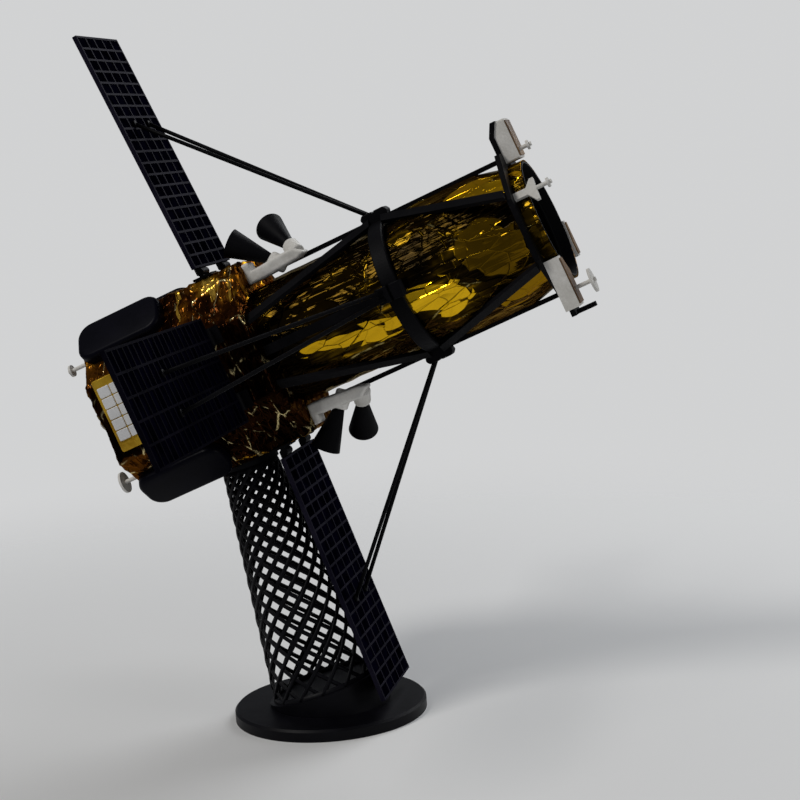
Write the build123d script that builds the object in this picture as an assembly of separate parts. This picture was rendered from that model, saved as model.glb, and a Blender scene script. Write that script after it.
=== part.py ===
from build123d import *
import math
import os

# Display model of an Earth-observation satellite on its lattice stand, in millimetres.
# The craft is drawn level, X forward along the telescope, Z up, Y to the far side,
# with its origin at the middle of the bus's rear face. It is tilted onto the stand last.

# Bus
busFlats = 124.0            # across the flats of the octagon
busSideWidth = 54.0         # of the four flats that carry wings
busLength = 118.5
busWall = 2.5
deckThickness = 3.0
seatWall = 2.0              # ring on the deck that the tube stands in
seatHeight = 4.0
adapterRadius = 20.0
adapterThickness = 4.0
adapterBossRadius = 15.0
adapterBossHeight = 2.0

# Black slabs on the four chamfers
slabLength = 56.0
slabMargin = 8.0            # between a slab and the chamfer's edges
slabThickness = 6.0
slabCorner = 10.0
slabRearInset = 1.0

# Gold plate with white tiles on the near flat
plateLength = 46.0
plateWidth = 50.0
plateRise = 6.0             # of the plate's middle above the telescope axis
plateThickness = 1.2
plateRearInset = 2.5
tileLength = 7.6
tileWidth = 11.0
tileThickness = 0.8
tileGap = 0.8
tileRows = 2
tileColumns = 5

# Telescope
tubeRadius = 42.8
tubeWall = 1.5
tubeLength = 200.0
linerGap = 0.15
linerWall = 1.2
linerDepth = 84.0
vaneDepth = 3.0
vaneThickness = 1.0
vanePitch = 17.0
vaneCount = 4

# Ring with lugs round the middle of the tube
ringPlace = 94.6            # from the deck to the ring's middle
ringWidth = 9.0
ringWall = 4.2
ringGap = 0.3
lugHeight = 7.0
lugBase = 11.0
lugTop = 14.0
lugDepth = 9.0
lugSlot = 3.0
lugSlotBase = 1.5
lugPinRadius = 1.2

# Flat bars of the truss
barWidth = 6.6
barThickness = 3.0
deckFootGap = 13.0          # from the tube to the middle of a foot on the deck or frame
ringFootGap = 5.0           # from the tube to the middle of a foot on the ring
deckFootAzimuth = 25.0
ringFootAzimuth = 80.0
frameFootAzimuth = 26.5

# Frame near the telescope's mouth
frameSetback = 12.5         # from the mouth back to the frame
frameThickness = 3.5
frameMargin = 8.5          # from the tube to the frame's flats
frameArmWidth = 22.0
frameArmTop = 20.6          # from the tube up to the arm's bend
frameArmTip = 9.0
frameArmTipLean = 27.0
frameArmBottom = 21.7       # from the tube down to the arm's end
framePinLength = 13.0
framePinWidth = 6.0
framePinThickness = 3.0

# White housings on the frame
topBlockLength = 10.0
topBlockWidth = 20.0
topBlockHeight = 28.0
lowBlockLength = 10.0
lowBlockWidth = 19.0
lowBlockGap = 3.0           # of its near side past the tube
lowBlockTop = -24.0
lowBlockDrop = 15.5         # of its lower edge below the tube
farBlockWidth = 11.0
farBlockGap = 7.0
farBlockTop = -5.0
farBlockHeight = 26.0
blockFaceThickness = 1.0
blockFaceMargin = 1.5
blockFillet = 1.2
tubeClearance = 0.4

# Bracket on the collar
collarAzimuth = 28.0
collarBarWidth = 5.0
collarReach = 6.5           # past the telescope's mouth
collarFlareWidth = 16.0
collarFlareLength = 2.5
collarThickness = 2.8

# Solar wings
wingSetback = 26.0          # from the deck's front back to the wings
wingThickness = 3.0
wingWidth = 74.0
wingRootGap = 7.5           # from the bus to the panel's root
wingLength = 174.5
wingLean = 2.4              # of the upper and lower wing back from square, degrees
cellColumns = 5
cellRows = 20
cellRib = 1.6
cellDepth = 0.6
hingeSpacing = 46.0
hingeWidth = 12.0
hingeKnuckleRadius = 2.8
hingeFootLength = 14.0
hingeFootThickness = 1.6
hingeLeafThickness = 1.4
hingeLeafLength = 12.0

# Twin rods that brace each wing from the ring
rodRadius = 1.1
rodPlace = 0.616              # of the wing's length, from its root to the rods' pads
rodSpreadWing = 26.0
rodSpreadLug = 5.2
rodPadRadius = 2.4
rodPadThickness = 1.2
rodEndGap = 0.0

# Sensors: two hoods on a bracket, above and below
hoodLength = 30.0
hoodWideRadius = 10.2
hoodNarrowRadius = 3.6
hoodWall = 1.0
bracketNear = 18.0
bracketWidth = 13.0
bracketReach = 43.0
bracketHeight = 9.0
bracketFoot = 4.0
bracketFootHeight = 13.0
stubRadius = 4.9
stubLength = 6.0
# place along X past the deck, across from the bracket's middle and above it, and the way each hood points
hoodSites = [
    {"reach": 21.0, "across": 0.0, "rise": -1.8, "way": (-0.70, -0.02, 0.71)},
    {"reach": 35.0, "across": 3.0, "rise": 1.4, "way": (-0.45, 0.66, 0.62)},
]

# Mushroom antennas
stemRadius = 1.4
antennaDiscThickness = 1.6
# name, disc radius, stem length, place across and up from the axis
rearAntennas = [
    {"disc": 7.5, "stem": 19.0, "y": -24.0, "z": -40.5},
    {"disc": 4.2, "stem": 19.0, "y": -25.0, "z": 44.0},
    {"disc": 4.2, "stem": 14.0, "y": -25.0, "z": 2.0},
]
frontTopStem = 7.0
frontTopDisc = 3.2
frontLowStem = 12.5
frontLowDisc = 8.0
collarStem = 9.0
collarDisc = 3.2

# Stand
craftTilt = 21.5            # telescope above the horizontal
columnLean = 15.1           # column's lean from upright
columnSetback = 60.0        # from the deck back to where the column meets the bus
columnTopRadius = 19.7
columnTaper = 6.16          # half angle of the lattice cone
columnWall = 1.9
strandWidth = 1.9
strandCount = 10
columnRimHeight = 5.0
capWall = 1.2
capHeight = 3.5
baseRadius = 66.0
baseThickness = 8.0
baseChamfer = 1.5
footWall = 3.0
footHeight = 12.0
wingClearance = 10.0        # lower wing's tip above the base

busApothem = busFlats / 2
chamferLeg = busApothem - busSideWidth / 2
slabWidth = chamferLeg * math.sqrt(2) - 2 * slabMargin
slabReach = (busApothem + busSideWidth / 2) / math.sqrt(2)
deckX = busLength
deckFront = deckX + deckThickness
tubeEnd = deckFront + tubeLength
ringX = deckFront + ringPlace - ringWidth / 2
ringEnd = ringX + ringWidth
ringOuterRadius = tubeRadius + ringWall
ringFootRadius = tubeRadius + ringFootGap
deckFootRadius = tubeRadius + deckFootGap
lugCrown = ringOuterRadius + lugHeight
frameX = tubeEnd - frameSetback
frameFront = frameX + frameThickness
frameApothem = tubeRadius + frameMargin
armTop = tubeRadius + frameArmTop
armBottom = tubeRadius + frameArmBottom
lowBlockFront = frameFront + lowBlockLength
topBlockFront = frameFront + topBlockLength
topBlockBase = tubeRadius + tubeClearance + 0.6
# housings below: each side across, then the lower and the upper edge
lowBlocks = [
    {"near": -tubeRadius - lowBlockGap, "far": -tubeRadius - lowBlockGap + lowBlockWidth,
     "bottom": -tubeRadius - lowBlockDrop, "top": lowBlockTop},
    {"near": tubeRadius + farBlockGap - farBlockWidth, "far": tubeRadius + farBlockGap,
     "bottom": farBlockTop - farBlockHeight, "top": farBlockTop},
]
bracketInner = tubeRadius + linerGap + seatWall + 0.5
wingX = deckFront - wingSetback
wingRoot = busApothem + wingRootGap
wingTip = wingRoot + wingLength
rodReach = wingRoot + wingLength * rodPlace
columnTopX = deckFront - columnSetback
capRadius = columnTopRadius + capWall
craftSides = {"up": 0, "near": 90, "down": 180, "far": 270}
crossPlane = Plane.YZ       # sketches across the craft: first Y, then Z

os.makedirs("parts", exist_ok=True)


def across(sketch, x, length):
    """Extrude a sketch drawn across the craft, forward from x."""
    return extrude(crossPlane.offset(x) * sketch, length)


def octagon(apothem):
    return Rot(0, 0, 22.5) * RegularPolygon(apothem, 8, major_radius=False)


def busOutline(inset=0.0):
    """The bus across: four wide flats with narrower chamfers between them."""
    flats = Rectangle(busFlats - 2 * inset, busFlats - 2 * inset)
    chamfers = Rot(0, 0, 45) * Rectangle(2 * (slabReach - inset), 2 * (slabReach - inset))
    return flats & chamfers


def turned(part, side):
    return Rot(craftSides[side], 0, 0) * part


def rod(start, end, radius):
    start, end = Vector(*start), Vector(*end)
    way = end - start
    return extrude(Plane(origin=start, z_dir=way) * Circle(radius), way.length)


def buildBus():
    outer = across(busOutline(), 0, busLength)
    inner = across(busOutline(busWall), busWall, busLength)
    return outer - inner


def buildDeck():
    plate = across(busOutline(), deckX, deckThickness)
    seatInner = tubeRadius + linerGap
    seat = across(Circle(seatInner + seatWall) - Circle(seatInner), deckFront, seatHeight)
    return plate + seat


def buildAdapter():
    ring = across(Circle(adapterRadius), -adapterThickness, adapterThickness)
    boss = across(Circle(adapterBossRadius), -adapterThickness - adapterBossHeight, adapterBossHeight)
    return ring + boss


def buildSlabs():
    outline = RectangleRounded(slabLength, slabWidth, slabCorner)
    middle = slabRearInset + slabLength / 2
    slab = Pos(middle, 0, slabReach) * extrude(outline, slabThickness)
    slab = fillet(slab.edges().group_by(Axis.Z)[-1], slabThickness / 3)
    return [Rot(45 + 90 * quarter, 0, 0) * slab for quarter in range(4)]


def buildTilePlate():
    middle = plateRearInset + plateLength / 2
    outline = RectangleRounded(plateLength, plateWidth, 2)
    plate = Pos(middle, -plateRise, busApothem) * extrude(outline, plateThickness)
    return turned(plate, "near")


def buildTiles():
    middle = plateRearInset + plateLength / 2
    places = GridLocations(tileWidth + tileGap, tileLength + tileGap, tileRows, tileColumns)
    tiles = []
    for place in places:
        tile = extrude(place * Rectangle(tileWidth, tileLength), tileThickness)
        tiles.append(turned(Pos(middle, -plateRise, busApothem + plateThickness) * tile, "near"))
    return tiles


def buildTube():
    return across(Circle(tubeRadius) - Circle(tubeRadius - tubeWall), deckFront, tubeLength)


def buildLiner():
    outer = tubeRadius - tubeWall - linerGap
    inner = outer - linerWall
    start = tubeEnd - linerDepth
    cup = across(Circle(outer), start, linerDepth) - across(Circle(inner), start + linerWall, linerDepth)
    for vane in range(vaneCount):
        x = tubeEnd - vanePitch * (vane + 0.5)
        cup += across(Circle(inner + linerWall / 2) - Circle(inner - vaneDepth), x, vaneThickness)
    return cup


def buildRing():
    ring = across(Circle(ringOuterRadius) - Circle(tubeRadius + ringGap), ringX, ringWidth)
    middle = ringX + ringWidth / 2
    root = ringOuterRadius - 2
    profile = Polygon((-lugBase / 2, root), (lugBase / 2, root), (lugTop / 2, lugCrown),
                      (-lugTop / 2, lugCrown), align=None)
    lug = extrude(Plane.XZ * profile, lugDepth / 2, both=True)
    slot = Pos(0, 0, ringOuterRadius + lugSlotBase + lugHeight / 2) * Box(lugSlot, lugDepth * 2, lugHeight)
    pin = Pos(0, 0, ringOuterRadius + lugHeight * 0.6) * Rot(0, 90, 0) * Cylinder(lugPinRadius, lugTop * 2)
    lug = Pos(middle, 0, 0) * (lug - slot - pin)
    for side in craftSides:
        ring += turned(lug, side)
    return ring - across(Circle(tubeRadius + ringGap), ringX - lugTop, ringWidth + 2 * lugTop)


def flatBar(start, end, xFrom, xTo):
    """A flat bar between two feet given as (x, radius, azimuth), its thin side facing the tube."""
    feet = []
    for x, radius, azimuth in (start, end):
        angle = math.radians(azimuth)
        feet.append(Vector(x, -radius * math.cos(angle), radius * math.sin(angle)))
    way = feet[1] - feet[0]
    middle = (feet[0] + feet[1]) * 0.5
    outward = Vector(0, middle.Y, middle.Z)
    sideways = way.cross(outward)
    section = Plane(origin=feet[0] - way, x_dir=sideways, z_dir=way)
    bar = extrude(section * Rectangle(barWidth, barThickness), way.length * 3)
    return bar & across(Rectangle(busFlats * 2, busFlats * 2), xFrom, xTo - xFrom)


def buildLowerTruss(ring):
    bars = []
    for azimuth in (0, 90, 180, 270):
        bars.append(flatBar((deckFront, ringFootRadius, azimuth), (ringX, ringFootRadius, azimuth),
                            deckFront, ringX))
    for flip in (1, -1):
        for base in (0, 180):
            bars.append(flatBar((deckFront, deckFootRadius, base + flip * deckFootAzimuth),
                                (ringX, ringFootRadius, base + flip * ringFootAzimuth), deckFront, ringX))
    return [bar - ring for bar in bars]


def buildUpperTruss(ring):
    bars = []
    for azimuth in (90, 270):
        bars.append(flatBar((ringEnd, ringFootRadius, azimuth), (frameX, ringFootRadius, azimuth),
                            ringEnd, frameX))
    for flip in (1, -1):
        for base in (0, 180):
            bars.append(flatBar((ringEnd, ringFootRadius, base + flip * ringFootAzimuth),
                                (frameX, deckFootRadius, base + flip * frameFootAzimuth), ringEnd, frameX))
    return [bar - ring for bar in bars]


def buildFrame():
    outline = octagon(frameApothem)
    outline += Pos(0, (armTop - armBottom) / 2) * Rectangle(frameArmWidth, armTop + armBottom)
    frame = across(outline - Circle(tubeRadius + tubeClearance), frameX, frameThickness)
    lean = math.tan(math.radians(frameArmTipLean)) * frameArmTip
    tip = Polygon((frameX, armTop), (frameFront, armTop), (frameFront + lean, armTop + frameArmTip),
                  (frameX + lean, armTop + frameArmTip), align=None)
    return frame + extrude(Plane.XZ * tip, frameArmWidth / 2, both=True)


def buildFramePin():
    pin = Box(framePinLength, framePinWidth, framePinThickness)
    place = Pos(frameFront + framePinLength / 2, 0, -armBottom + framePinThickness / 2)
    return place * pin


def buildTopBlock():
    lean = math.tan(math.radians(frameArmTipLean))
    low, high = topBlockBase, topBlockBase + topBlockHeight
    start, end = frameFront, topBlockFront
    bend = high - armTop
    profile = Polygon((start, low), (end, low), (end, high), (start + lean * bend + linerGap, high),
                      (start, armTop - linerGap), align=None)
    block = extrude(Plane.XZ * profile, topBlockWidth / 2, both=True)
    return fillet(block.edges().filter_by(Axis.X), blockFillet)


def lowOutline(block, margin):
    """A lower housing's outline across the craft, cut round for the tube."""
    width, height = block["far"] - block["near"], block["top"] - block["bottom"]
    middle = ((block["far"] + block["near"]) / 2, (block["top"] + block["bottom"]) / 2)
    outline = Pos(*middle) * Rectangle(width - 2 * margin, height - 2 * margin)
    return outline - Circle(tubeRadius + tubeClearance + margin)


def buildLowBlocks():
    return [across(lowOutline(block, 0), frameFront, lowBlockLength) for block in lowBlocks]


def buildBlockFaces():
    topMiddle = topBlockBase + topBlockHeight / 2
    margin = 2 * blockFaceMargin
    top = Pos(0, topMiddle) * Rectangle(topBlockWidth - margin, topBlockHeight - margin)
    faces = [across(top, topBlockFront, blockFaceThickness)]
    for block in lowBlocks:
        faces.append(across(lowOutline(block, blockFaceMargin), lowBlockFront, blockFaceThickness))
    return faces


def buildCollarBracket():
    inner = tubeRadius + ringGap
    end = tubeEnd + collarReach
    shell = across(Circle(inner + collarThickness) - Circle(inner), frameFront, end - frameFront)
    flareX = end - collarFlareLength
    outline = Polygon((frameFront, -collarBarWidth / 2), (tubeEnd, -collarBarWidth / 2),
                      (flareX, -collarFlareWidth / 2), (end, -collarFlareWidth / 2), (end, collarFlareWidth / 2),
                      (flareX, collarFlareWidth / 2), (tubeEnd, collarBarWidth / 2),
                      (frameFront, collarBarWidth / 2), align=None)
    cutter = extrude(outline, tubeRadius * 2)
    return shell & (Rot(90 - collarAzimuth, 0, 0) * cutter)


def mushroom(x, y, z, discRadius, stem, forward):
    """A stem along X from x, with a round disc near its end and a nipple past it."""
    sign = 1 if forward else -1
    lengths = [(stemRadius, 0, stem), (discRadius, stem - antennaDiscThickness, antennaDiscThickness),
               (stemRadius, stem, antennaDiscThickness)]
    part = None
    for radius, start, length in lengths:
        step = Pos(x + sign * (start + length / 2), y, z) * Rot(0, 90, 0) * Cylinder(radius, length)
        part = step if part is None else part + step
    return part


def buildRearAntennas():
    return [mushroom(0, site["y"], site["z"], site["disc"], site["stem"], False) for site in rearAntennas]


def buildFrontAntennas():
    topZ = topBlockBase + topBlockHeight * 0.2
    low = lowBlocks[0]
    lowY = low["near"] * 0.55 + low["far"] * 0.45
    lowZ = low["bottom"] * 0.67 + low["top"] * 0.33
    collar = tubeRadius + ringGap + collarThickness / 2
    turn = math.radians(collarAzimuth)
    return [
        mushroom(topBlockFront + blockFaceThickness, -topBlockWidth / 4, topZ, frontTopDisc, frontTopStem, True),
        mushroom(lowBlockFront + blockFaceThickness, lowY, lowZ, frontLowDisc, frontLowStem, True),
        mushroom(tubeEnd + collarReach, -collar * math.cos(turn), collar * math.sin(turn), collarDisc,
                 collarStem, True),
    ]


def buildWing():
    """The upper wing: its length along Z, its width along Y, its cells facing forward."""
    length = wingTip - wingRoot
    middle = wingRoot + length / 2
    panel = across(Pos(0, middle) * Rectangle(wingWidth, length), wingX, wingThickness)
    cellWidth = (wingWidth - cellRib) / cellColumns
    cellHeight = (length - cellRib) / cellRows
    cells = Sketch() + [place * Rectangle(cellWidth - cellRib, cellHeight - cellRib)
                        for place in GridLocations(cellWidth, cellHeight, cellColumns, cellRows)]
    return panel - across(Pos(0, middle) * cells, wingX + wingThickness - cellDepth, cellDepth)


knucklePlace = (wingX + wingThickness / 2, busApothem + hingeFootThickness + hingeKnuckleRadius)


def leaned(part, lean):
    """Turn a piece of the upper wing back about its hinge pin."""
    pin = Pos(knucklePlace[0], 0, knucklePlace[1])
    return pin * Rot(0, -lean, 0) * pin.inverse() * part


def buildHinges(lean):
    centreX, knuckleZ = knucklePlace
    foot = Pos(centreX, busApothem + hingeFootThickness / 2) * Rectangle(hingeFootLength, hingeFootThickness)
    post = Pos(centreX, busApothem + hingeFootThickness) * Rectangle(hingeKnuckleRadius, hingeFootThickness * 2)
    base = extrude(Plane.XZ * (foot + post), hingeWidth / 2, both=True)
    leafX = wingX - hingeLeafThickness / 2
    leafLow = knuckleZ - hingeKnuckleRadius / 2
    leafHigh = wingRoot + hingeLeafLength
    eye = Pos(*knucklePlace) * Circle(hingeKnuckleRadius)
    leaf = Pos(leafX, (leafLow + leafHigh) / 2) * Rectangle(hingeLeafThickness, leafHigh - leafLow)
    neck = Pos((leafX + centreX) / 2, knuckleZ) * Rectangle(centreX - leafX, hingeKnuckleRadius)
    hinge = base + leaned(extrude(Plane.XZ * (eye + leaf + neck), hingeWidth / 2, both=True), lean)
    return [Pos(0, side * hingeSpacing / 2, 0) * hinge for side in (-1, 1)]


def buildRods(lean):
    """Two rods from the lug's rear face out to pads on the wing's front face."""
    wingFace = wingX + wingThickness
    keep = leaned(across(Pos(0, wingTip) * Rectangle(busFlats, wingTip * 4), wingFace, tubeLength), lean)
    lugZ = ringOuterRadius + lugHeight * 0.65
    lugRear = ringX + ringWidth / 2 - (lugBase + lugTop) / 4 - rodEndGap
    keep &= across(Rectangle(busFlats * 6, busFlats * 6), -busLength, busLength + lugRear)
    rods = []
    for side in (-1, 1):
        padY = side * rodSpreadWing / 2
        pad = Pos(wingFace + rodPadThickness / 2, padY, rodReach) * Rot(0, 90, 0) * Cylinder(
            rodPadRadius, rodPadThickness)
        end = leaned(Pos(wingFace - 1, padY, rodReach), lean).position
        start = (ringX + ringWidth / 2, side * rodSpreadLug / 2, lugZ)
        rods.append((rod(start, end, rodRadius) & keep) + leaned(pad, lean))
    return rods


def hoodPlace(site, flip):
    """Where a hood's narrow end sits, and the way it points; flip is 1 above and -1 below."""
    origin = Vector(deckFront + site["reach"], -bracketNear + bracketWidth / 2 + site["across"],
                    flip * (bracketInner + bracketHeight + site["rise"]))
    way = Vector(*site["way"])
    return origin, Vector(way.X, way.Y, flip * way.Z).normalized()


def buildBracket(flip):
    low, high = bracketInner, bracketInner + bracketHeight
    tip = deckFront + bracketReach
    profile = Polygon((deckFront, low), (deckFront, high + bracketFootHeight - bracketHeight),
                      (deckFront + bracketFoot, high + bracketFootHeight - bracketHeight),
                      (deckFront + bracketFoot, high - 2), (tip - 6, high), (tip, high - 5),
                      (tip - 5, low + 2), (deckFront + bracketFoot + 6, low), align=None)
    arm = Pos(0, -bracketNear + bracketWidth / 2, 0) * extrude(Plane.XZ * profile, bracketWidth / 2, both=True)
    if flip < 0:
        arm = mirror(arm, Plane.XY)
    for site in hoodSites:
        origin, way = hoodPlace(site, flip)
        start = origin + way * (stubLength - 3)
        arm += rod(origin - way * (stubLength + 2), start, stubRadius)
        room = Polygon((0, 0), (hoodNarrowRadius + linerGap, 0), (hoodWideRadius + linerGap, hoodLength),
                       (0, hoodLength), align=None)
        arm -= Plane(origin=start, z_dir=way).location * revolve(Plane.XZ * room, Axis.Z)
    return arm


def buildHoods(flip):
    hoods = []
    for site in hoodSites:
        origin, way = hoodPlace(site, flip)
        start = origin + way * (stubLength - 3)
        profile = Polygon((0, 0), (hoodNarrowRadius, 0), (hoodWideRadius, hoodLength),
                          (hoodWideRadius - hoodWall, hoodLength), (hoodNarrowRadius - hoodWall, hoodWall * 2),
                          (0, hoodWall * 2), align=None)
        hood = revolve(Plane.XZ * profile, Axis.Z)
        hoods.append(Plane(origin=start, z_dir=way).location * hood)
    return hoods


tilt = math.radians(craftTilt)
columnTurn = math.radians(columnLean)
lowestX = wingX - wingLength * math.sin(math.radians(wingLean))
wingDrop = lowestX * math.sin(tilt) - wingTip * math.cos(tilt)
craftHeight = baseThickness + wingClearance - wingDrop
topDrop = columnTopX * math.sin(tilt) - busApothem * math.cos(tilt)
topAhead = columnTopX * math.cos(tilt) + busApothem * math.sin(tilt)
columnRise = craftHeight + topDrop - baseThickness
columnLength = columnRise / math.cos(columnTurn)
craftStart = -columnRise * math.tan(columnTurn) - topAhead
craftPlace = Pos(craftStart, 0, craftHeight) * Rot(0, -craftTilt, 0)
columnPlace = Pos(0, 0, baseThickness) * Rot(0, -columnLean, 0)
columnSlope = math.tan(math.radians(columnTaper))
columnTop = columnLength - capHeight
columnFootRadius = columnTopRadius + columnSlope * (columnTop - footHeight)


def columnRadius(height):
    return columnFootRadius - columnSlope * (height - footHeight)


def coneShell(low, high, wall):
    """A many-sided conical shell between two heights on the column."""
    faces = 2 * strandCount
    outer = extrude(Pos(0, 0, low) * RegularPolygon(columnRadius(low), faces), high - low, taper=columnTaper)
    inner = extrude(Pos(0, 0, low) * RegularPolygon(columnRadius(low) - wall, faces), high - low,
                    taper=columnTaper)
    return outer - inner


def buildColumn():
    low, high = footHeight, columnTop
    shell = coneShell(low, high, columnWall)
    turn = 180.0 / strandCount
    inset = strandWidth / 2 * math.sqrt(2)
    cutters = []
    height = low + columnRimHeight
    level = 0
    while True:
        halfHeight = columnRadius(height) * math.sin(math.radians(turn))
        halfHeight /= 1 + columnSlope * math.sin(math.radians(turn)) / 2
        centre = height + halfHeight
        if centre + halfHeight > high - columnRimHeight:
            break
        halfWidth = columnRadius(centre) * math.tan(math.radians(turn)) * math.cos(math.radians(turn / 2))
        diamond = Polygon((-halfWidth + inset, 0), (0, -halfHeight + inset), (halfWidth - inset, 0),
                          (0, halfHeight - inset), align=None)
        for index in range(strandCount):
            angle = math.radians(2 * turn * index + turn * (level % 2))
            outward = Vector(math.cos(angle), math.sin(angle), 0)
            start = outward * (columnRadius(centre) / 2) + Vector(0, 0, centre)
            plane = Plane(origin=start, x_dir=(-math.sin(angle), math.cos(angle), 0), z_dir=outward)
            cutters.append(extrude(plane * diamond, columnRadius(centre)))
        height = centre
        level += 1
    return columnPlace * (shell - cutters)


def buildCap():
    cap = Pos(0, 0, columnTop + capHeight) * Cylinder(capRadius, capHeight * 2)
    busRoom = craftPlace * Pos(columnTopX, 0, 0) * Box(busFlats * 2, busFlats * 2, busFlats)
    return columnPlace * cap - busRoom


def buildBase():
    disc = Cylinder(baseRadius, baseThickness, align=(Align.CENTER, Align.CENTER, Align.MIN))
    disc = chamfer(disc.edges().group_by(Axis.Z)[-1], baseChamfer)
    footRadius = columnFootRadius + footWall
    foot = columnPlace * (Pos(0, 0, -footRadius / 2) * extrude(Circle(footRadius), footRadius / 2 + footHeight))
    room = Pos(0, 0, -footRadius) * Box(footRadius * 6, footRadius * 6, footRadius * 2)
    return disc + (foot - room)


def save(name, shapes, craft=True):
    shapes = shapes if isinstance(shapes, list) else [shapes]
    solids = [solid for shape in shapes for solid in shape.solids()]
    if craft:
        solids = [craftPlace * solid for solid in solids]
    export_step(Compound(children=solids) if len(solids) > 1 else solids[0], f"parts/{name}.step")


save("bus_body", buildBus())
save("front_deck", buildDeck())
save("adapter_disc", buildAdapter())
save("chamfer_slabs", buildSlabs())
save("tile_plate", buildTilePlate())
save("side_tiles", buildTiles())
save("telescope_tube", buildTube())
save("aperture_liner", buildLiner())
middleRing = buildRing()
save("middle_ring", middleRing)
save("lower_truss", buildLowerTruss(middleRing))
save("upper_truss", buildUpperTruss(middleRing))
save("front_frame", buildFrame())
save("frame_pin", buildFramePin())
save("top_block", buildTopBlock())
save("low_blocks", buildLowBlocks())
save("block_faces", buildBlockFaces())
save("collar_bracket", buildCollarBracket())
save("front_antennas", buildFrontAntennas())
save("rear_antennas", buildRearAntennas())

wing = buildWing()
for side in craftSides:
    lean = wingLean if side in ("up", "down") else 0.0
    save(f"wing_{side}", turned(leaned(wing, lean), side))
    save(f"hinges_{side}", [turned(hinge, side) for hinge in buildHinges(lean)])
    save(f"rods_{side}", [turned(stay, side) for stay in buildRods(lean)])

for flip, name in ((1, "top"), (-1, "low")):
    save(f"sensor_bracket_{name}", buildBracket(flip))
    save(f"sensor_hoods_{name}", buildHoods(flip))

save("stand_column", buildColumn(), craft=False)
save("stand_cap", buildCap(), craft=False)
save("stand_base", buildBase(), craft=False)
print("column length", round(columnLength, 1), "craft height", round(craftHeight, 1),
      "craft start", round(craftStart, 1))
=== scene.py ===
import bmesh
import bpy
import math
import random
from mathutils import Matrix, Vector, noise


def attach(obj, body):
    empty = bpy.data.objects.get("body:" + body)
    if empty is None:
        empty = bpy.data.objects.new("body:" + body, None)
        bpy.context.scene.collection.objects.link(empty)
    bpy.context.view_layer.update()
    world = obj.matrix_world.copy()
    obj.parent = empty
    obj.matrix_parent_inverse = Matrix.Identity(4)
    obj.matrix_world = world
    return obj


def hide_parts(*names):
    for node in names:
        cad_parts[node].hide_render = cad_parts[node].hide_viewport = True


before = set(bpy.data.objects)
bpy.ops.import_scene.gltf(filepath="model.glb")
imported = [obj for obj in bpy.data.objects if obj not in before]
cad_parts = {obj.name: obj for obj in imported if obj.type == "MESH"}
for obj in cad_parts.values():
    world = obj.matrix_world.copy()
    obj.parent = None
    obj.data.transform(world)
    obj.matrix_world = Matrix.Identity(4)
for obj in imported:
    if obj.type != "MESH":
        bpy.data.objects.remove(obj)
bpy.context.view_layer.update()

mm = 0.001
scene = bpy.context.scene

# The craft is tilted on its stand; its own frame has X forward from the bus's rear face
craft = {"tilt": math.radians(21.5), "start": -125.693 * mm, "height": 212.699 * mm}
craftMatrix = (Matrix.Translation((craft["start"], 0, craft["height"]))
               @ Matrix.Rotation(-craft["tilt"], 4, "Y"))
column = {"lean": math.radians(15.1), "foot": 8.0 * mm}
columnMatrix = Matrix.Translation((0, 0, column["foot"])) @ Matrix.Rotation(-column["lean"], 4, "Y")


# Meshes and pieces

# Makes the piece from its mesh, which is in the craft's frame in mm unless place and scale say otherwise
def addPiece(name, bm, material, hides=(), smooth=True, place=craftMatrix, scale=mm):
    bmesh.ops.transform(bm, matrix=place @ Matrix.Scale(scale, 4), verts=bm.verts)
    bmesh.ops.recalc_face_normals(bm, faces=bm.faces)
    mesh = bpy.data.meshes.new(name)
    bm.to_mesh(mesh)
    bm.free()
    for face in mesh.polygons:
        face.use_smooth = smooth
    mesh.materials.append(material)
    piece = bpy.data.objects.new(name, mesh)
    scene.collection.objects.link(piece)
    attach(piece, "root")
    if hides:
        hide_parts(*hides)
    return piece


# Skins the rings, which all have as many points, one after the other
def loft(bm, rings, capEnds=False):
    rows = [[bm.verts.new(point) for point in ring] for ring in rings]
    for low, high in zip(rows, rows[1:]):
        for index in range(len(low)):
            after = (index + 1) % len(low)
            bm.faces.new((low[index], low[after], high[after], high[index]))
    if capEnds:
        bm.faces.new(list(reversed(rows[0])))
        bm.faces.new(rows[-1])


# Points of a circle round the X axis, at x
def circle(radius, count, x):
    return [(x, radius * math.cos(math.tau * index / count), radius * math.sin(math.tau * index / count))
            for index in range(count)]


# A tube along the path, flattened away from the Z axis by flat
def tubeAlong(bm, path, radius, sides, flat=1.0):
    rings = []
    for index, point in enumerate(path):
        way = (path[min(index + 1, len(path) - 1)] - path[max(index - 1, 0)]).normalized()
        outward = Vector((point.x, point.y, 0)).normalized()
        sideways = way.cross(outward).normalized()
        outward = sideways.cross(way)
        rings.append([point + (outward * flat * math.cos(math.tau * k / sides)
                               + sideways * math.sin(math.tau * k / sides)) * radius for k in range(sides)])
    loft(bm, rings, capEnds=True)


# Shader node groups and materials

def newGroup(name, inputs, outputs):
    group = bpy.data.node_groups.new(name, "ShaderNodeTree")
    for label, (kind, value) in inputs.items():
        socket = group.interface.new_socket(label, in_out="INPUT", socket_type=kind)
        if value is not None:
            socket.default_value = value
    for label in outputs:
        group.interface.new_socket(label, in_out="OUTPUT", socket_type="NodeSocketFloat")
    return group, group.nodes.new("NodeGroupInput").outputs, group.nodes.new("NodeGroupOutput").inputs


def addNode(tree, kind, values=None, **settings):
    node = tree.nodes.new(kind)
    for name, value in settings.items():
        setattr(node, name, value)
    for socket, value in (values or {}).items():
        if isinstance(value, bpy.types.NodeSocket):
            tree.links.new(value, node.inputs[socket])
        else:
            node.inputs[socket].default_value = value
    return node


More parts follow.
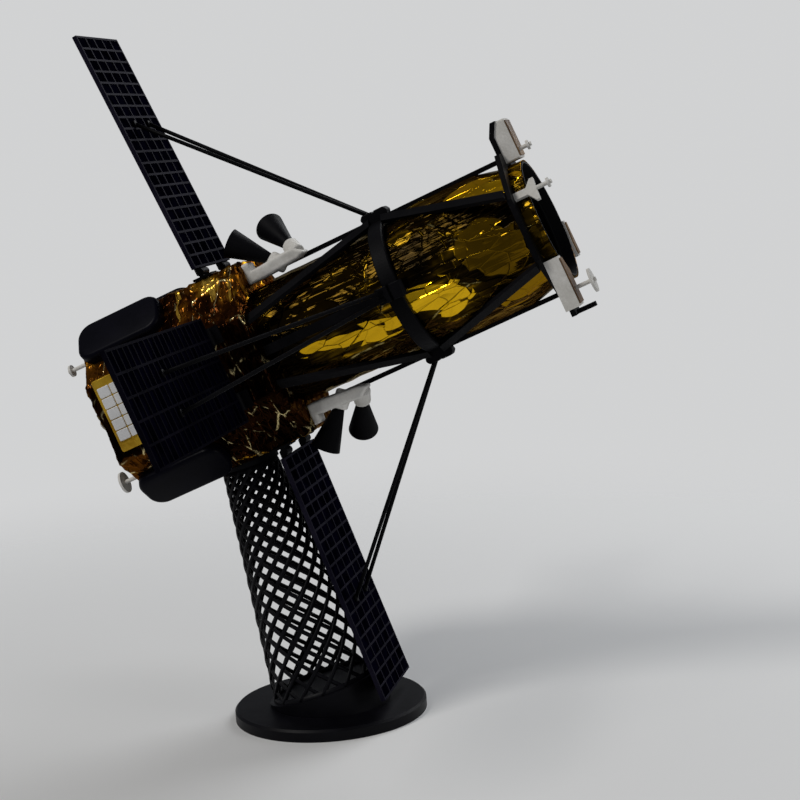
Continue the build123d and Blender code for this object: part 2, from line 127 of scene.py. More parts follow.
def mathNode(tree, operation, first, second=0.0, third=None, clamp=False):
    node = tree.nodes.new("ShaderNodeMath")
    node.operation, node.use_clamp = operation, clamp
    for socket, value in zip(node.inputs, (first, second, third)):
        if isinstance(value, bpy.types.NodeSocket):
            tree.links.new(value, socket)
        elif value is not None:
            socket.default_value = value
    return node.outputs[0]


def mapRange(tree, value, low, high, toLow=0.0, toHigh=1.0):
    node = addNode(tree, "ShaderNodeMapRange", {
        "Value": value, "From Min": low, "From Max": high, "To Min": toLow, "To Max": toHigh},
        clamp=True, interpolation_type="SMOOTHSTEP")
    return node.outputs["Result"]


def ramp(tree, value, stops):
    node = addNode(tree, "ShaderNodeValToRGB", {"Fac": value})
    elements = node.color_ramp.elements
    while len(elements) < len(stops):
        elements.new(0.5)
    for element, (place, colour) in zip(elements, stops):
        element.position = place
        element.color = (*colour, 1)
    return node.outputs["Color"]


def mixColour(tree, amount, first, second):
    node = addNode(tree, "ShaderNodeMix", data_type="RGBA")
    for socket, value in ((node.inputs[0], amount), (node.inputs[6], first), (node.inputs[7], second)):
        if isinstance(value, bpy.types.NodeSocket):
            tree.links.new(value, socket)
        else:
            socket.default_value = (*value, 1) if isinstance(value, tuple) else value
    return node.outputs[2]


# A new material with its shader and the place in the craft's own frame, in metres
def startMaterial(name):
    material = bpy.data.materials.new(name)
    material.use_nodes = True
    tree = material.node_tree
    turn = Matrix.Rotation(craft["tilt"], 3, "Y")
    offset = turn @ Vector((craft["start"], 0, craft["height"]))
    inScene = addNode(tree, "ShaderNodeTexCoord").outputs["Object"]
    place = addNode(tree, "ShaderNodeMapping", {"Vector": inScene, "Location": -offset,
                                                "Rotation": (0, craft["tilt"], 0)}).outputs[0]
    return material, tree, tree.nodes["Principled BSDF"], place


def useGroup(tree, group, values):
    return addNode(tree, "ShaderNodeGroup", values, node_tree=group).outputs


def bumpFrom(tree, shader, height, strength, distance):
    bump = addNode(tree, "ShaderNodeBump", {"Height": height, "Strength": strength, "Distance": distance})
    tree.links.new(bump.outputs["Normal"], shader.inputs["Normal"])


vectorInput = ("NodeSocketVector", None)


# Straight creases between flat facets, each facet with a tone of its own
foldGroupValues = {"bendScale": 1.3, "sharpness": 1.6, "ridge": 0.25, "dish": -1.2}


def makeCreaseGroup():
    values = foldGroupValues
    group, given, out = newGroup("foilFolds", {
        "Place": vectorInput, "Size": ("NodeSocketFloat", 1.0), "Width": ("NodeSocketFloat", 0.03),
        "Warp": ("NodeSocketFloat", 0.15)}, ("Fold", "Height", "Side"))
    bend = addNode(group, "ShaderNodeTexNoise", {"Vector": given["Place"], "Scale": values["bendScale"],
                                                 "Detail": 2.0})
    push = addNode(group, "ShaderNodeVectorMath", {0: bend.outputs["Color"], 1: (0.5, 0.5, 0.5)},
                   operation="SUBTRACT").outputs[0]
    push = addNode(group, "ShaderNodeVectorMath", {0: push, 3: given["Warp"]}, operation="SCALE").outputs[0]
    place = addNode(group, "ShaderNodeVectorMath", {0: given["Place"], 1: push}, operation="ADD").outputs[0]
    edge = addNode(group, "ShaderNodeTexVoronoi", {"Vector": place, "Scale": given["Size"]},
                   feature="DISTANCE_TO_EDGE").outputs["Distance"]
    facet = addNode(group, "ShaderNodeTexVoronoi", {"Vector": place, "Scale": given["Size"]}).outputs["Color"]
    away = mathNode(group, "DIVIDE", edge, given["Width"], clamp=True)
    fold = mathNode(group, "SUBTRACT", 1.0, away)
    group.links.new(mathNode(group, "POWER", fold, values["sharpness"]), out["Fold"])
    dish = mathNode(group, "MULTIPLY", edge, values["dish"])
    group.links.new(mathNode(group, "MULTIPLY_ADD", fold, values["ridge"], dish), out["Height"])
    group.links.new(facet, out["Side"])
    return group


# An oval patch or rim of painted light on the telescope, by place along it and turn round it
patchGroupValues = {"squareness": 2.4, "roundness": 2.0, "edgeOut": 1.06, "edgeIn": 0.94}


def makePatchGroup():
    values = patchGroupValues
    group, given, out = newGroup("paintedLightPatch", {
        "Along": ("NodeSocketFloat", 0.0), "Turn": ("NodeSocketFloat", 0.0),
        "Middle": ("NodeSocketFloat", 0.2), "Middle Turn": ("NodeSocketFloat", 0.0),
        "Half Length": ("NodeSocketFloat", 0.03), "Half Turn": ("NodeSocketFloat", 0.3),
        "Skew": ("NodeSocketFloat", 0.0), "Rim": ("NodeSocketFloat", 2.0)}, ("Mask",))
    along = mathNode(group, "SUBTRACT", given["Along"], given["Middle"])
    turn = mathNode(group, "SUBTRACT", given["Turn"], given["Middle Turn"])
    turn = mathNode(group, "SUBTRACT", turn, mathNode(group, "MULTIPLY", along, given["Skew"]))
    lengthShare = mathNode(group, "ABSOLUTE", mathNode(group, "DIVIDE", along, given["Half Length"]))
    turnShare = mathNode(group, "ABSOLUTE", mathNode(group, "DIVIDE", turn, given["Half Turn"]))
    away = mathNode(group, "ADD", mathNode(group, "POWER", lengthShare, values["squareness"]),
                    mathNode(group, "POWER", turnShare, values["roundness"]))
    whole = mapRange(group, away, values["edgeOut"], values["edgeIn"])
    beyondRim = mathNode(group, "ADD", away, given["Rim"])
    inside = mapRange(group, beyondRim, values["edgeOut"], values["edgeIn"])
    group.links.new(mathNode(group, "SUBTRACT", whole, inside), out["Mask"])
    return group


# The fine grain and layer lines of printed plastic
grainGroupValues = {"broadScale": 45.0, "layerScale": 500.0, "layerWave": 1.2, "fineShare": 0.35,
                    "broadShare": 0.65}


def makeGrainGroup():
    values = grainGroupValues
    group, given, out = newGroup("printedGrain", {
        "Place": vectorInput, "Grain": ("NodeSocketFloat", 900.0), "Layers": ("NodeSocketFloat", 0.35)},
        ("Tone", "Height"))
    fine = addNode(group, "ShaderNodeTexNoise", {"Vector": given["Place"], "Scale": given["Grain"],
                                                 "Detail": 3.0, "Roughness": 0.65})
    broad = addNode(group, "ShaderNodeTexNoise", {"Vector": given["Place"], "Scale": values["broadScale"],
                                                  "Detail": 4.0})
    lines = addNode(group, "ShaderNodeTexWave", {
        "Vector": given["Place"], "Scale": values["layerScale"], "Distortion": values["layerWave"],
        "Detail": 1.0}, bands_direction="X")
    layered = mathNode(group, "MULTIPLY", lines.outputs["Fac"], given["Layers"])
    group.links.new(mathNode(group, "ADD", fine.outputs["Fac"], layered), out["Height"])
    tone = mathNode(group, "MULTIPLY", fine.outputs["Fac"], values["fineShare"])
    group.links.new(mathNode(group, "MULTIPLY_ADD", broad.outputs["Fac"], values["broadShare"], tone),
                    out["Tone"])
    return group


foilFolds = makeCreaseGroup()
paintedLightPatch = makePatchGroup()
printedGrain = makeGrainGroup()


# What all the foils share; the spans are of noise values between 0 and 1
foilValues = {
    "smallSize": 2.7, "smallWidth": 1.5, "smallShare": 0.4, "sideMiddle": 0.7, "toneGain": 1.4,
    "wanderScale": 50.0, "staggerTurn": 0.012, "streakSpan": (0.36, 0.64), "creaseShadeSpan": (0.5, 0.9),
    "creaseShade": 0.3, "gapSpan": (0.47, 0.6), "glintSpan": (0.55, 0.9), "roughSpan": (0.3, 0.7),
    "smallHeight": 0.35, "shine": 0.08, "fullRim": 2.0}


# Place along the craft and turn round it from the near side, shaken so that no patch has a smooth edge
def foilPlace(tree, looks, place, small):
    parts = addNode(tree, "ShaderNodeSeparateXYZ", {0: place}).outputs
    wander = addNode(tree, "ShaderNodeTexNoise", {"Vector": place, "Scale": foilValues["wanderScale"],
                                                  "Detail": 1.0})
    offset = mathNode(tree, "SUBTRACT", wander.outputs["Fac"], 0.5)
    along = mathNode(tree, "MULTIPLY_ADD", offset, looks["wander"] * mm, parts["X"])
    turn = mathNode(tree, "ARCTAN2", parts["Z"], mathNode(tree, "MULTIPLY", parts["Y"], -1.0))
    turn = mathNode(tree, "MULTIPLY_ADD", offset, looks["wanderTurn"], turn)
    stagger = mathNode(tree, "SUBTRACT", small["Side"], 0.5)
    along = mathNode(tree, "MULTIPLY_ADD", stagger, looks["stagger"] * mm, along)
    turn = mathNode(tree, "MULTIPLY_ADD", stagger, looks["stagger"] * foilValues["staggerTurn"], turn)
    return along, turn


# Lays the patches of painted reflection and painted highlight over the tone, and also gives how much of the
# surface they leave plain
def layPaintedLight(tree, looks, tone, along, turn):
    plain = 1.0
    for patch in looks["paintedLightPatches"]:
        mask = useGroup(tree, paintedLightPatch, {
            "Along": along, "Turn": turn, "Middle": patch["x"] * mm,
            "Middle Turn": math.radians(patch["turn"]), "Half Length": patch["length"] * mm,
            "Half Turn": math.radians(patch["width"]), "Skew": patch["skew"],
            "Rim": patch.get("rim", foilValues["fullRim"])})["Mask"]
        share = mathNode(tree, "MULTIPLY", mask, patch["amount"])
        plain = mathNode(tree, "MULTIPLY", plain, mathNode(tree, "SUBTRACT", 1.0, share))
        tone = mathNode(tree, "MULTIPLY_ADD", mathNode(tree, "SUBTRACT", patch["tone"], tone), share, tone)
    return tone, plain


# Colour by tone, painted shade in the small folds across the bright parts, and broken painted glints on the
# large folds
def foilColour(tree, looks, tone, place, drift, large, small):
    values = foilValues
    colour = ramp(tree, tone, looks["stops"])
    # Painted shade in the small folds, where the tone is bright
    creaseShade = mapRange(tree, tone, *values["creaseShadeSpan"], 0.0, values["creaseShade"])
    colour = mixColour(tree, mathNode(tree, "MULTIPLY", small["Fold"], creaseShade), colour, looks["stops"][1][1])
    # Painted glints: bright lines on the large folds, gated by drift and broken by gaps
    gate = mapRange(tree, drift, looks["gateLow"], looks["gateHigh"])
    gaps = addNode(tree, "ShaderNodeTexNoise", {"Vector": place, "Scale": looks["gaps"], "Detail": 2.0})
    glint = mathNode(tree, "MULTIPLY", large["Fold"], gate)
    glint = mathNode(tree, "MULTIPLY", glint, mapRange(tree, gaps.outputs["Fac"], *values["gapSpan"]))
    dim = mapRange(tree, tone, *values["glintSpan"], looks["glint"], 0.0)
    return mixColour(tree, mathNode(tree, "MULTIPLY", glint, dim), colour, looks["glintColour"])


# Thin metallised sheet: coloured by broad tones, painted reflections and painted shade, with fine bright
# folds that are painted glints
def makeFoil(name, looks):
    values = foilValues
    material, tree, shader, place = startMaterial(name)
    facets = addNode(tree, "ShaderNodeMapping", {"Vector": place, "Scale": looks["facets"]}).outputs[0]
    large = useGroup(tree, foilFolds, {"Place": facets, "Size": 1.0, "Width": looks["width"]})
    small = useGroup(tree, foilFolds, {"Place": facets, "Size": values["smallSize"],
                                       "Width": looks["width"] * values["smallWidth"]})
    drift = addNode(tree, "ShaderNodeTexNoise", {"Vector": place, "Scale": looks["drift"], "Detail": 3.0,
                                                 "Roughness": 0.6}).outputs["Fac"]
    tone = mapRange(tree, drift, looks["low"], looks["high"])
    # Painted reflection: each facet's tone is shifted by a value of its own, as if each facet caught a
    # different reflection
    sides = mathNode(tree, "MULTIPLY_ADD", small["Side"], values["smallShare"], large["Side"])
    sides = mathNode(tree, "SUBTRACT", sides, values["sideMiddle"])
    sides = mathNode(tree, "MULTIPLY", sides, looks["facetReflection"])
    raised = mathNode(tree, "MULTIPLY", tone, values["toneGain"])
    tone = mathNode(tree, "MULTIPLY_ADD", raised, sides, tone, clamp=True)
    along, turn = foilPlace(tree, looks, place, small)
    # Painted shade: the tone dims to the share left at turns below those that shade gives
    low, full, left = looks["shade"]
    tone = mathNode(tree, "MULTIPLY", tone,
                    mapRange(tree, turn, math.radians(low), math.radians(full), left, 1.0))
    stretched = addNode(tree, "ShaderNodeMapping", {"Vector": place, "Scale": looks["streaks"]}).outputs[0]
    streak = addNode(tree, "ShaderNodeTexNoise", {"Vector": stretched, "Scale": 1.0, "Detail": 3.0,
                                                  "Distortion": 0.6}).outputs["Fac"]
    swing = mathNode(tree, "MULTIPLY", mapRange(tree, streak, *values["streakSpan"], -0.5, 0.5), tone)
    tone = mathNode(tree, "MULTIPLY_ADD", swing, looks["streakShare"], tone, clamp=True)
    # Patches of painted reflection and painted highlight over the tone
    tone, plain = layPaintedLight(tree, looks, tone, along, turn)
    tree.links.new(foilColour(tree, looks, tone, place, drift, large, small), shader.inputs["Base Color"])
    shader.inputs["Metallic"].default_value = looks["metallic"]
    shader.inputs["Specular IOR Level"].default_value = values["shine"]
    shader.inputs["Specular Tint"].default_value = (*looks["edgeTint"], 1)
    tree.links.new(mapRange(tree, drift, *values["roughSpan"], looks["smooth"], looks["rough"]),
                   shader.inputs["Roughness"])
    height = mathNode(tree, "MULTIPLY_ADD", small["Height"], values["smallHeight"], large["Height"])
    brushed = mathNode(tree, "MULTIPLY", streak, plain)
    height = mathNode(tree, "MULTIPLY_ADD", brushed, looks["streakHeight"], height)
    bumpFrom(tree, shader, height, looks["bump"], looks["bumpDepth"])
    return material


# Printed or painted plastic; the spans are of the grain's tone
plasticValues = {"toneSpan": (0.3, 0.75), "roughSpan": (0.3, 0.8)}


def makePlastic(name, looks):
    material, tree, shader, place = startMaterial(name)
    grain = useGroup(tree, printedGrain, {"Place": place, "Grain": looks["grain"], "Layers": looks["layers"]})
    tone = mapRange(tree, grain["Tone"], *plasticValues["toneSpan"])
    tree.links.new(mixColour(tree, tone, looks["dark"], looks["light"]), shader.inputs["Base Color"])
    rough = mapRange(tree, grain["Tone"], *plasticValues["roughSpan"], looks["smooth"], looks["rough"])
    tree.links.new(rough, shader.inputs["Roughness"])
    shader.inputs["Specular IOR Level"].default_value = looks["shine"]
    bumpFrom(tree, shader, grain["Height"], looks["bump"], looks["bumpDepth"])
    return material


# Cells in a grid; along and across name the craft's axes that the wing lies on
def makeWing(name, looks, along, across):
    material, tree, shader, place = startMaterial(name)
    grain = useGroup(tree, printedGrain, {"Place": place, "Grain": looks["grain"], "Layers": looks["layers"]})
    parts = addNode(tree, "ShaderNodeSeparateXYZ", {0: place}).outputs
    far = mathNode(tree, "SUBTRACT", mathNode(tree, "ABSOLUTE", parts[along]), looks["root"] * mm)
    rows = mathNode(tree, "DIVIDE", far, looks["rowPitch"] * mm)
    columns = mathNode(tree, "DIVIDE", mathNode(tree, "ADD", parts[across], looks["edge"] * mm),
                       looks["columnPitch"] * mm)
    rowRib = mathNode(tree, "LESS_THAN", mathNode(tree, "FRACT", rows), looks["rib"] / looks["rowPitch"])
    columnRib = mathNode(tree, "LESS_THAN", mathNode(tree, "FRACT", columns),
                         looks["rib"] / looks["columnPitch"])
    raised = mathNode(tree, "MAXIMUM", rowRib, columnRib)
    shade = addNode(tree, "ShaderNodeTexWhiteNoise", {"W": mathNode(tree, "FLOOR", rows)},
                    noise_dimensions="1D").outputs["Value"]
    blotch = addNode(tree, "ShaderNodeTexNoise", {"Vector": place, "Scale": looks["blotchScale"],
                                                  "Detail": 3.0}).outputs["Fac"]
    mottle = mathNode(tree, "MULTIPLY_ADD", shade, looks["rowShade"],
                      mapRange(tree, blotch, *looks["blotchSpan"]))
    cell = mixColour(tree, mottle, looks["cellDark"], looks["cellLight"])
    ribTone = mapRange(tree, grain["Tone"], *plasticValues["toneSpan"])
    rib = mixColour(tree, ribTone, looks["ribDark"], looks["ribLight"])
    tree.links.new(mixColour(tree, raised, cell, rib), shader.inputs["Base Color"])
    tree.links.new(mapRange(tree, raised, 0, 1, looks["cellRough"], looks["ribRough"]),
                   shader.inputs["Roughness"])
    tree.links.new(mapRange(tree, raised, 0, 1, 0.0, looks["shine"]), shader.inputs["Specular IOR Level"])
    shader.inputs["Specular Tint"].default_value = (*looks["sheen"], 1)
    bumpFrom(tree, shader, grain["Height"], looks["bump"], looks["bumpDepth"])
    return material


# Patches by place along, turn from the near side, half length and half width, in mm and degrees, where rim
# keeps only a patch's edge; the patches are painted reflections and painted highlights. shade gives the turns
# between which the painted shade lifts, and the share of tone left below
busFoil = makeFoil("busFoil", {
    "facets": (85, 34, 34), "facetReflection": 0.9, "width": 0.045, "drift": 34.0, "low": 0.3, "high": 0.74,
    "wander": 10, "stagger": 3.0, "wanderTurn": 0.3,
    "streaks": (60, 120, 120), "streakShare": 0.4, "streakHeight": 0.2,
    # Painted shade on the near side below a turn of 36 degrees; patches of painted light beside the plate,
    # and painted highlights along creases and the lower edge
    "shade": (0, 36, 0.08), "paintedLightPatches": [
        {"x": 9, "turn": 38, "length": 11, "width": 14, "skew": 0.0, "amount": 0.7, "tone": 0.62},
        {"x": 12, "turn": -34, "length": 18, "width": 11, "skew": 0.0, "amount": 0.7, "tone": 0.62},
        {"x": 76, "turn": 55, "length": 1.1, "width": 15, "skew": 0.0, "amount": 0.9, "tone": 1.0},
        {"x": 101, "turn": 58, "length": 1.5, "width": 16, "skew": 0.0, "amount": 0.9, "tone": 1.0},
        {"x": 92, "turn": -66, "length": 30, "width": 0.7, "skew": 0.0, "amount": 0.9, "tone": 0.95},
        {"x": 114, "turn": 46, "length": 1.1, "width": 11, "skew": 0.0, "amount": 0.9, "tone": 0.95}],
    "stops": [(0.0, (0.003, 0.001, 0.0005)), (0.35, (0.035, 0.010, 0.002)), (0.6, (0.14, 0.048, 0.005)),
              (0.85, (0.40, 0.19, 0.015)), (1.0, (0.80, 0.50, 0.08))],
    "gaps": 160.0, "gateLow": 0.44, "gateHigh": 0.53, "glint": 1.0, "glintColour": (1.0, 0.84, 0.42),
    "edgeTint": (1.0, 0.62, 0.22), "metallic": 0.85, "smooth": 0.12, "rough": 0.26,
    "bump": 0.7, "bumpDepth": 0.002})
# Painted shade on the tube's underside; the patches are painted reflections, with a painted highlight along
# one loop crease
tubeFoil = makeFoil("tubeFoil", {
    "facets": (18, 46, 46), "facetReflection": 0.6, "width": 0.022, "drift": 26.0, "low": 0.36, "high": 0.9,
    "wander": 9, "stagger": 18.0, "wanderTurn": 0.16, "shade": (-70, -30, 0.10),
    "streaks": (16, 240, 240), "streakShare": 0.9, "streakHeight": 0.8,
    "stops": [(0.0, (0.003, 0.002, 0.001)), (0.3, (0.018, 0.010, 0.001)), (0.55, (0.075, 0.043, 0.002)),
              (0.78, (0.34, 0.18, 0.006)), (1.0, (0.88, 0.52, 0.013))],
    "gaps": 120.0, "gateLow": 0.52, "gateHigh": 0.6, "glint": 0.6, "glintColour": (1.0, 0.80, 0.30),
    "edgeTint": (1.0, 0.68, 0.18), "metallic": 0.85, "smooth": 0.05, "rough": 0.14,
    "bump": 0.6, "bumpDepth": 0.004,
    "paintedLightPatches": [
        {"x": 178, "turn": -23, "length": 38, "width": 7, "skew": -4.0, "amount": 1.0, "tone": 0.95},
        {"x": 235, "turn": -22, "length": 26, "width": 17, "skew": -5.0, "amount": 1.0, "tone": 1.0},
        {"x": 284, "turn": -4, "length": 21, "width": 27, "skew": -6.0, "amount": 0.85, "tone": 0.7},
        {"x": 290, "turn": 52, "length": 27, "width": 14, "skew": -2.0, "amount": 0.85, "tone": 0.95},
        {"x": 291, "turn": -50, "length": 18, "width": 12, "skew": 0.0, "amount": 0.9, "tone": 0.8},
        {"x": 170, "turn": 26, "length": 46, "width": 18, "skew": 2.0, "amount": 0.6, "tone": 0.36},
        {"x": 226, "turn": 0, "length": 29, "width": 52, "skew": 0.0, "amount": 0.7, "tone": 0.95,
         "rim": 0.06},
        {"x": 232, "turn": 44, "length": 9, "width": 9, "skew": 0.0, "amount": 0.5, "tone": 0.9},
        {"x": 318, "turn": -10, "length": 5, "width": 34, "skew": 0.0, "amount": 0.7, "tone": 0.55}]})
plateFoil = makeFoil("plateFoil", {
    "facets": (90, 90, 90), "facetReflection": 0.2, "width": 0.05, "drift": 40.0, "low": 0.2, "high": 0.7,
    "wander": 10, "stagger": 1.0, "wanderTurn": 0.3,
    "streaks": (60, 60, 60), "streakShare": 0.3, "streakHeight": 0.1,
    "shade": (-170, -160, 1.0), "paintedLightPatches": [],
    "stops": [(0.0, (0.26, 0.13, 0.01)), (0.5, (0.46, 0.26, 0.02)), (1.0, (0.66, 0.42, 0.04))],
    "gaps": 150.0, "gateLow": 0.5, "gateHigh": 0.7, "glint": 0.3, "glintColour": (0.95, 0.78, 0.4),
    "edgeTint": (1.0, 0.8, 0.4), "metallic": 0.5, "smooth": 0.25, "rough": 0.4,
    "bump": 0.3, "bumpDepth": 0.0015})
blackPlastic = makePlastic("blackPlastic", {
    "grain": 900.0, "layers": 0.35, "dark": (0.002, 0.002, 0.0026), "light": (0.0055, 0.0052, 0.0065),
    "smooth": 0.42, "rough": 0.6, "shine": 0.05, "bump": 0.35, "bumpDepth": 0.00025})
slabBlack = makePlastic("slabBlack", {
    "grain": 500.0, "layers": 0.1, "dark": (0.001, 0.001, 0.0028), "light": (0.0024, 0.0022, 0.0062),
    "smooth": 0.34, "rough": 0.46, "shine": 0.05, "bump": 0.2, "bumpDepth": 0.0002})
linerBlack = makePlastic("linerBlack", {
    "grain": 1200.0, "layers": 0.1, "dark": (0.0012, 0.0012, 0.0016), "light": (0.0035, 0.0035, 0.0045),
    "smooth": 0.6, "rough": 0.8, "shine": 0.15, "bump": 0.3, "bumpDepth": 0.0002})
whitePlastic = makePlastic("whitePlastic", {
    "grain": 600.0, "layers": 0.5, "dark": (0.62, 0.60, 0.55), "light": (0.84, 0.82, 0.78),
    "smooth": 0.45, "rough": 0.62, "shine": 0.4, "bump": 0.5, "bumpDepth": 0.00035})
whiteTile = makePlastic("whiteTile", {
    "grain": 300.0, "layers": 0.0, "dark": (0.66, 0.66, 0.66), "light": (0.78, 0.78, 0.78),
    "smooth": 0.25, "rough": 0.35, "shine": 0.5, "bump": 0.1, "bumpDepth": 0.0001})
bronzeFace = makePlastic("bronzeFace", {
    "grain": 260.0, "layers": 0.3, "dark": (0.09, 0.045, 0.02), "light": (0.36, 0.22, 0.10),
    "smooth": 0.3, "rough": 0.5, "shine": 0.4, "bump": 0.5, "bumpDepth": 0.0004})
standBlack = makePlastic("standBlack", {
    "grain": 800.0, "layers": 0.2, "dark": (0.0012, 0.0012, 0.0022), "light": (0.004, 0.0038, 0.006),
    "smooth": 0.4, "rough": 0.55, "shine": 0.1, "bump": 0.25, "bumpDepth": 0.0002})
# The wing's root from the craft's middle line, its half width, the grid's pitch and the ribs' width, in mm
wingLooks = {
    "root": 69.5, "edge": 37.0, "rowPitch": 8.645, "columnPitch": 14.48, "rib": 1.6,
    "grain": 700.0, "layers": 0.2, "blotchScale": 70.0, "blotchSpan": (0.35, 0.7), "rowShade": 0.35,
    "cellRough": 0.45, "ribRough": 0.6, "bump": 0.35, "bumpDepth": 0.0002,
    "shine": 0.03, "sheen": (0.32, 0.28, 0.75),
    "cellDark": (0.0003, 0.0003, 0.0012), "cellLight": (0.0016, 0.0014, 0.0060),
    "ribDark": (0.0040, 0.0037, 0.0080), "ribLight": (0.015, 0.0135, 0.023)}
wingUpright = makeWing("wingUpright", wingLooks, "Z", "Y")
# On the near and far wings the ribs hardly stand out, as in the photo
# A darker, shaded copy of the wing's rib colours: painted shade for the near and far wings
shadedRibs = {"ribDark": (0.0016, 0.0015, 0.0034), "ribLight": (0.0060, 0.0054, 0.0105), "shine": 0.012}
wingSidewaysShaded = makeWing("wingSidewaysShaded", {**wingLooks, **shadedRibs}, "Y", "Z")
print("materials ready")


# Finishes of the CAD pieces, also of those that a piece below replaces
finishes = {
    "bus_body": busFoil, "front_deck": busFoil, "adapter_disc": plateFoil, "chamfer_slabs": slabBlack,
    "tile_plate": plateFoil, "side_tiles": whiteTile, "telescope_tube": tubeFoil,
    "aperture_liner": linerBlack, "middle_ring": blackPlastic, "lower_truss": blackPlastic,
    "upper_truss": blackPlastic, "front_frame": blackPlastic, "frame_pin": blackPlastic,
    "top_block": whitePlastic, "low_blocks": whitePlastic, "block_faces": bronzeFace,
    "collar_bracket": whitePlastic, "front_antennas": whitePlastic, "rear_antennas": whitePlastic,
    "sensor_bracket_top": whitePlastic, "sensor_bracket_low": whitePlastic,
    "sensor_hoods_top": blackPlastic, "sensor_hoods_low": blackPlastic,
    "wing_up": wingUpright, "wing_near": wingSidewaysShaded, "wing_down": wingUpright, "wing_far": wingSidewaysShaded,
    "stand_column": standBlack, "stand_cap": standBlack, "stand_base": standBlack,
}
for side in ("up", "near", "down", "far"):
    finishes["hinges_" + side] = blackPlastic
    finishes["rods_" + side] = blackPlastic
for nodeName, material in finishes.items():
    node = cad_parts[nodeName]
    node.data.materials.clear()
    node.data.materials.append(material)
print("CAD pieces dressed")


# Crumpled foil over the bus and its front deck
busFoilShape = {"apothem": 62.0, "halfSide": 27.0, "length": 121.5, "tube": 42.0, "around": 288, "step": 1.7,
                "faceSteps": 18, "firstStep": 5, "deckSteps": 10, "edgeRound": 1.2, "edgeShrink": 0.004,
                "folds": 1.1, "foldSize": 17.0, "broadShare": 0.5, "ridgeShare": 0.25, "ridgeSize": 0.55,
                "crumple": 0.09, "crumpleSize": 4.2, "crease": 1.1, "creaseWidth": 0.16, "creasePower": 1.5,
                "cellLength": 12.0, "cellWidth": 30.0, "sideways": 0.3, "sink": 0.5, "seed": 4}


def busRadius(angle, shape):
    quarter = (angle + math.pi / 4) % (math.pi / 2) - math.pi / 4
    flat = shape["apothem"] / math.cos(quarter)
    chamfer = (shape["apothem"] + shape["halfSide"]) / math.sqrt(2) / math.cos(math.pi / 4 - abs(quarter))
    return min(flat, chamfer)


def foilHeight(point, shape):
    broad = noise.noise(Vector(point) / shape["foldSize"])
    ridgeSize = shape["foldSize"] * shape["ridgeSize"]
    ridges = 1 - 2 * abs(noise.noise(Vector(point) / ridgeSize + Vector((9, 3, 5))))
    near, after = noise.voronoi(Vector((point[0] / shape["cellLength"], point[1] / shape["cellWidth"],
                                        point[2] / shape["cellWidth"])))[0][:2]
    crease = max(0.0, 1 - (after - near) / shape["creaseWidth"])
    fine = 1 - 2 * abs(noise.noise(Vector(point) / shape["crumpleSize"] + Vector((2, 8, 1))))
    return (shape["folds"] * (shape["broadShare"] * broad + shape["ridgeShare"] * ridges)
            + shape["crumple"] * fine + shape["crease"] * crease ** shape["creasePower"] - shape["sink"])


def crumple(bm, shape):
    bm.normal_update()
    random.seed(shape["seed"])
    moves = []
    for vert in bm.verts:
        shift = vert.normal * foilHeight(vert.co, shape)
        side = Vector((random.uniform(-1, 1), random.uniform(-1, 1), random.uniform(-1, 1)))
        side -= vert.normal * side.dot(vert.normal)
        moves.append(vert.co + shift + side * shape["step"] * shape["sideways"])
    for vert, place in zip(bm.verts, moves):
        vert.co = place


def buildBusFoil():
    shape = busFoilShape
    angles = [math.tau * index / shape["around"] for index in range(shape["around"])]

    # The bus's outline at full blend, and a circle of the inner radius at none
    def ring(x, blend, inner=0.0):
        points = []
        for angle in angles:
            radius = busRadius(angle, shape) * blend + inner * (1 - blend)
            points.append((x, radius * math.cos(angle), radius * math.sin(angle)))
        return points

    rings = [ring(0.0, step / shape["faceSteps"]) for step in range(shape["firstStep"], shape["faceSteps"])]
    sideSteps = round(shape["length"] / shape["step"])
    for step in range(sideSteps + 1):
        x = shape["length"] * step / sideSteps
        edge = shape["edgeRound"] if step in (0, sideSteps) else 0.0
        rings.append(ring(x + (edge if step == 0 else -edge), 1 - edge * shape["edgeShrink"]))
    for step in range(1, shape["deckSteps"] + 1):
        rings.append(ring(shape["length"], 1 - step / shape["deckSteps"], shape["tube"]))
    bm = bmesh.new()
    loft(bm, rings)
    crumple(bm, shape)
    return addPiece("busFoilSkin", bm, busFoil, ("bus_body", "front_deck"))


buildBusFoil()
print("bus foil done")


# Foil round the telescope, smoother, with long creases; it puffs out above and below ahead of the ring
tubeFoilShape = {"radius": 42.8, "start": 121.5, "end": 321.5, "around": 300, "step": 1.0, "inset": 0.3,
                 "creases": 110, "creaseTurn": 60.0, "turnSpread": 0.6, "creaseLengths": (10, 42),
                 "creaseHeight": 0.6, "creaseShares": (0.3, 1.0), "creaseWidth": 1.5, "sharpness": 1.6,
                 "reach": 46, "wave": 0.6, "waveLength": 15, "waveTurns": 3.2,
                 "lowest": -0.9, "highest": 1.0,
                 "puff": 4.4, "puffFrom": 221.0, "puffTo": 305.0, "puffRise": 4, "puffFall": 5,
                 "puffPower": 3,
                 "lip": 1.4, "lipDepth": 1.0, "seed": 11}


# Each crease by its middle, its direction, half its length and its height
def tubeCreases(shape, circumference):
    random.seed(shape["seed"])
    creases = []
    for index in range(shape["creases"]):
        middle = (random.uniform(shape["start"], shape["end"]), random.uniform(0, circumference))
        way = random.gauss(math.radians(shape["creaseTurn"]), shape["turnSpread"]) * random.choice((-1, 1))
        half = random.uniform(*shape["creaseLengths"]) / 2
        height = shape["creaseHeight"] * random.uniform(*shape["creaseShares"]) * random.choice((1, 1, -1))
        creases.append((middle, (math.cos(way), math.sin(way)), half, height))
    return creases


def creaseHeight(x, turn, creases, circumference, shape):
    height = 0.0
    for (cx, cs), (dx, ds), half, tall in creases:
        fx = x - cx
        if abs(fx) > shape["reach"]:
            continue
        fs = (turn * circumference - cs + circumference / 2) % circumference - circumference / 2
        along = fx * dx + fs * ds
        if abs(along) > half:
            continue
        away = abs(fx * ds - fs * dx) / shape["creaseWidth"]
        if away < 1:
            height += tall * (1 - away) ** shape["sharpness"] * (1 - (along / half) ** 2)
    return height


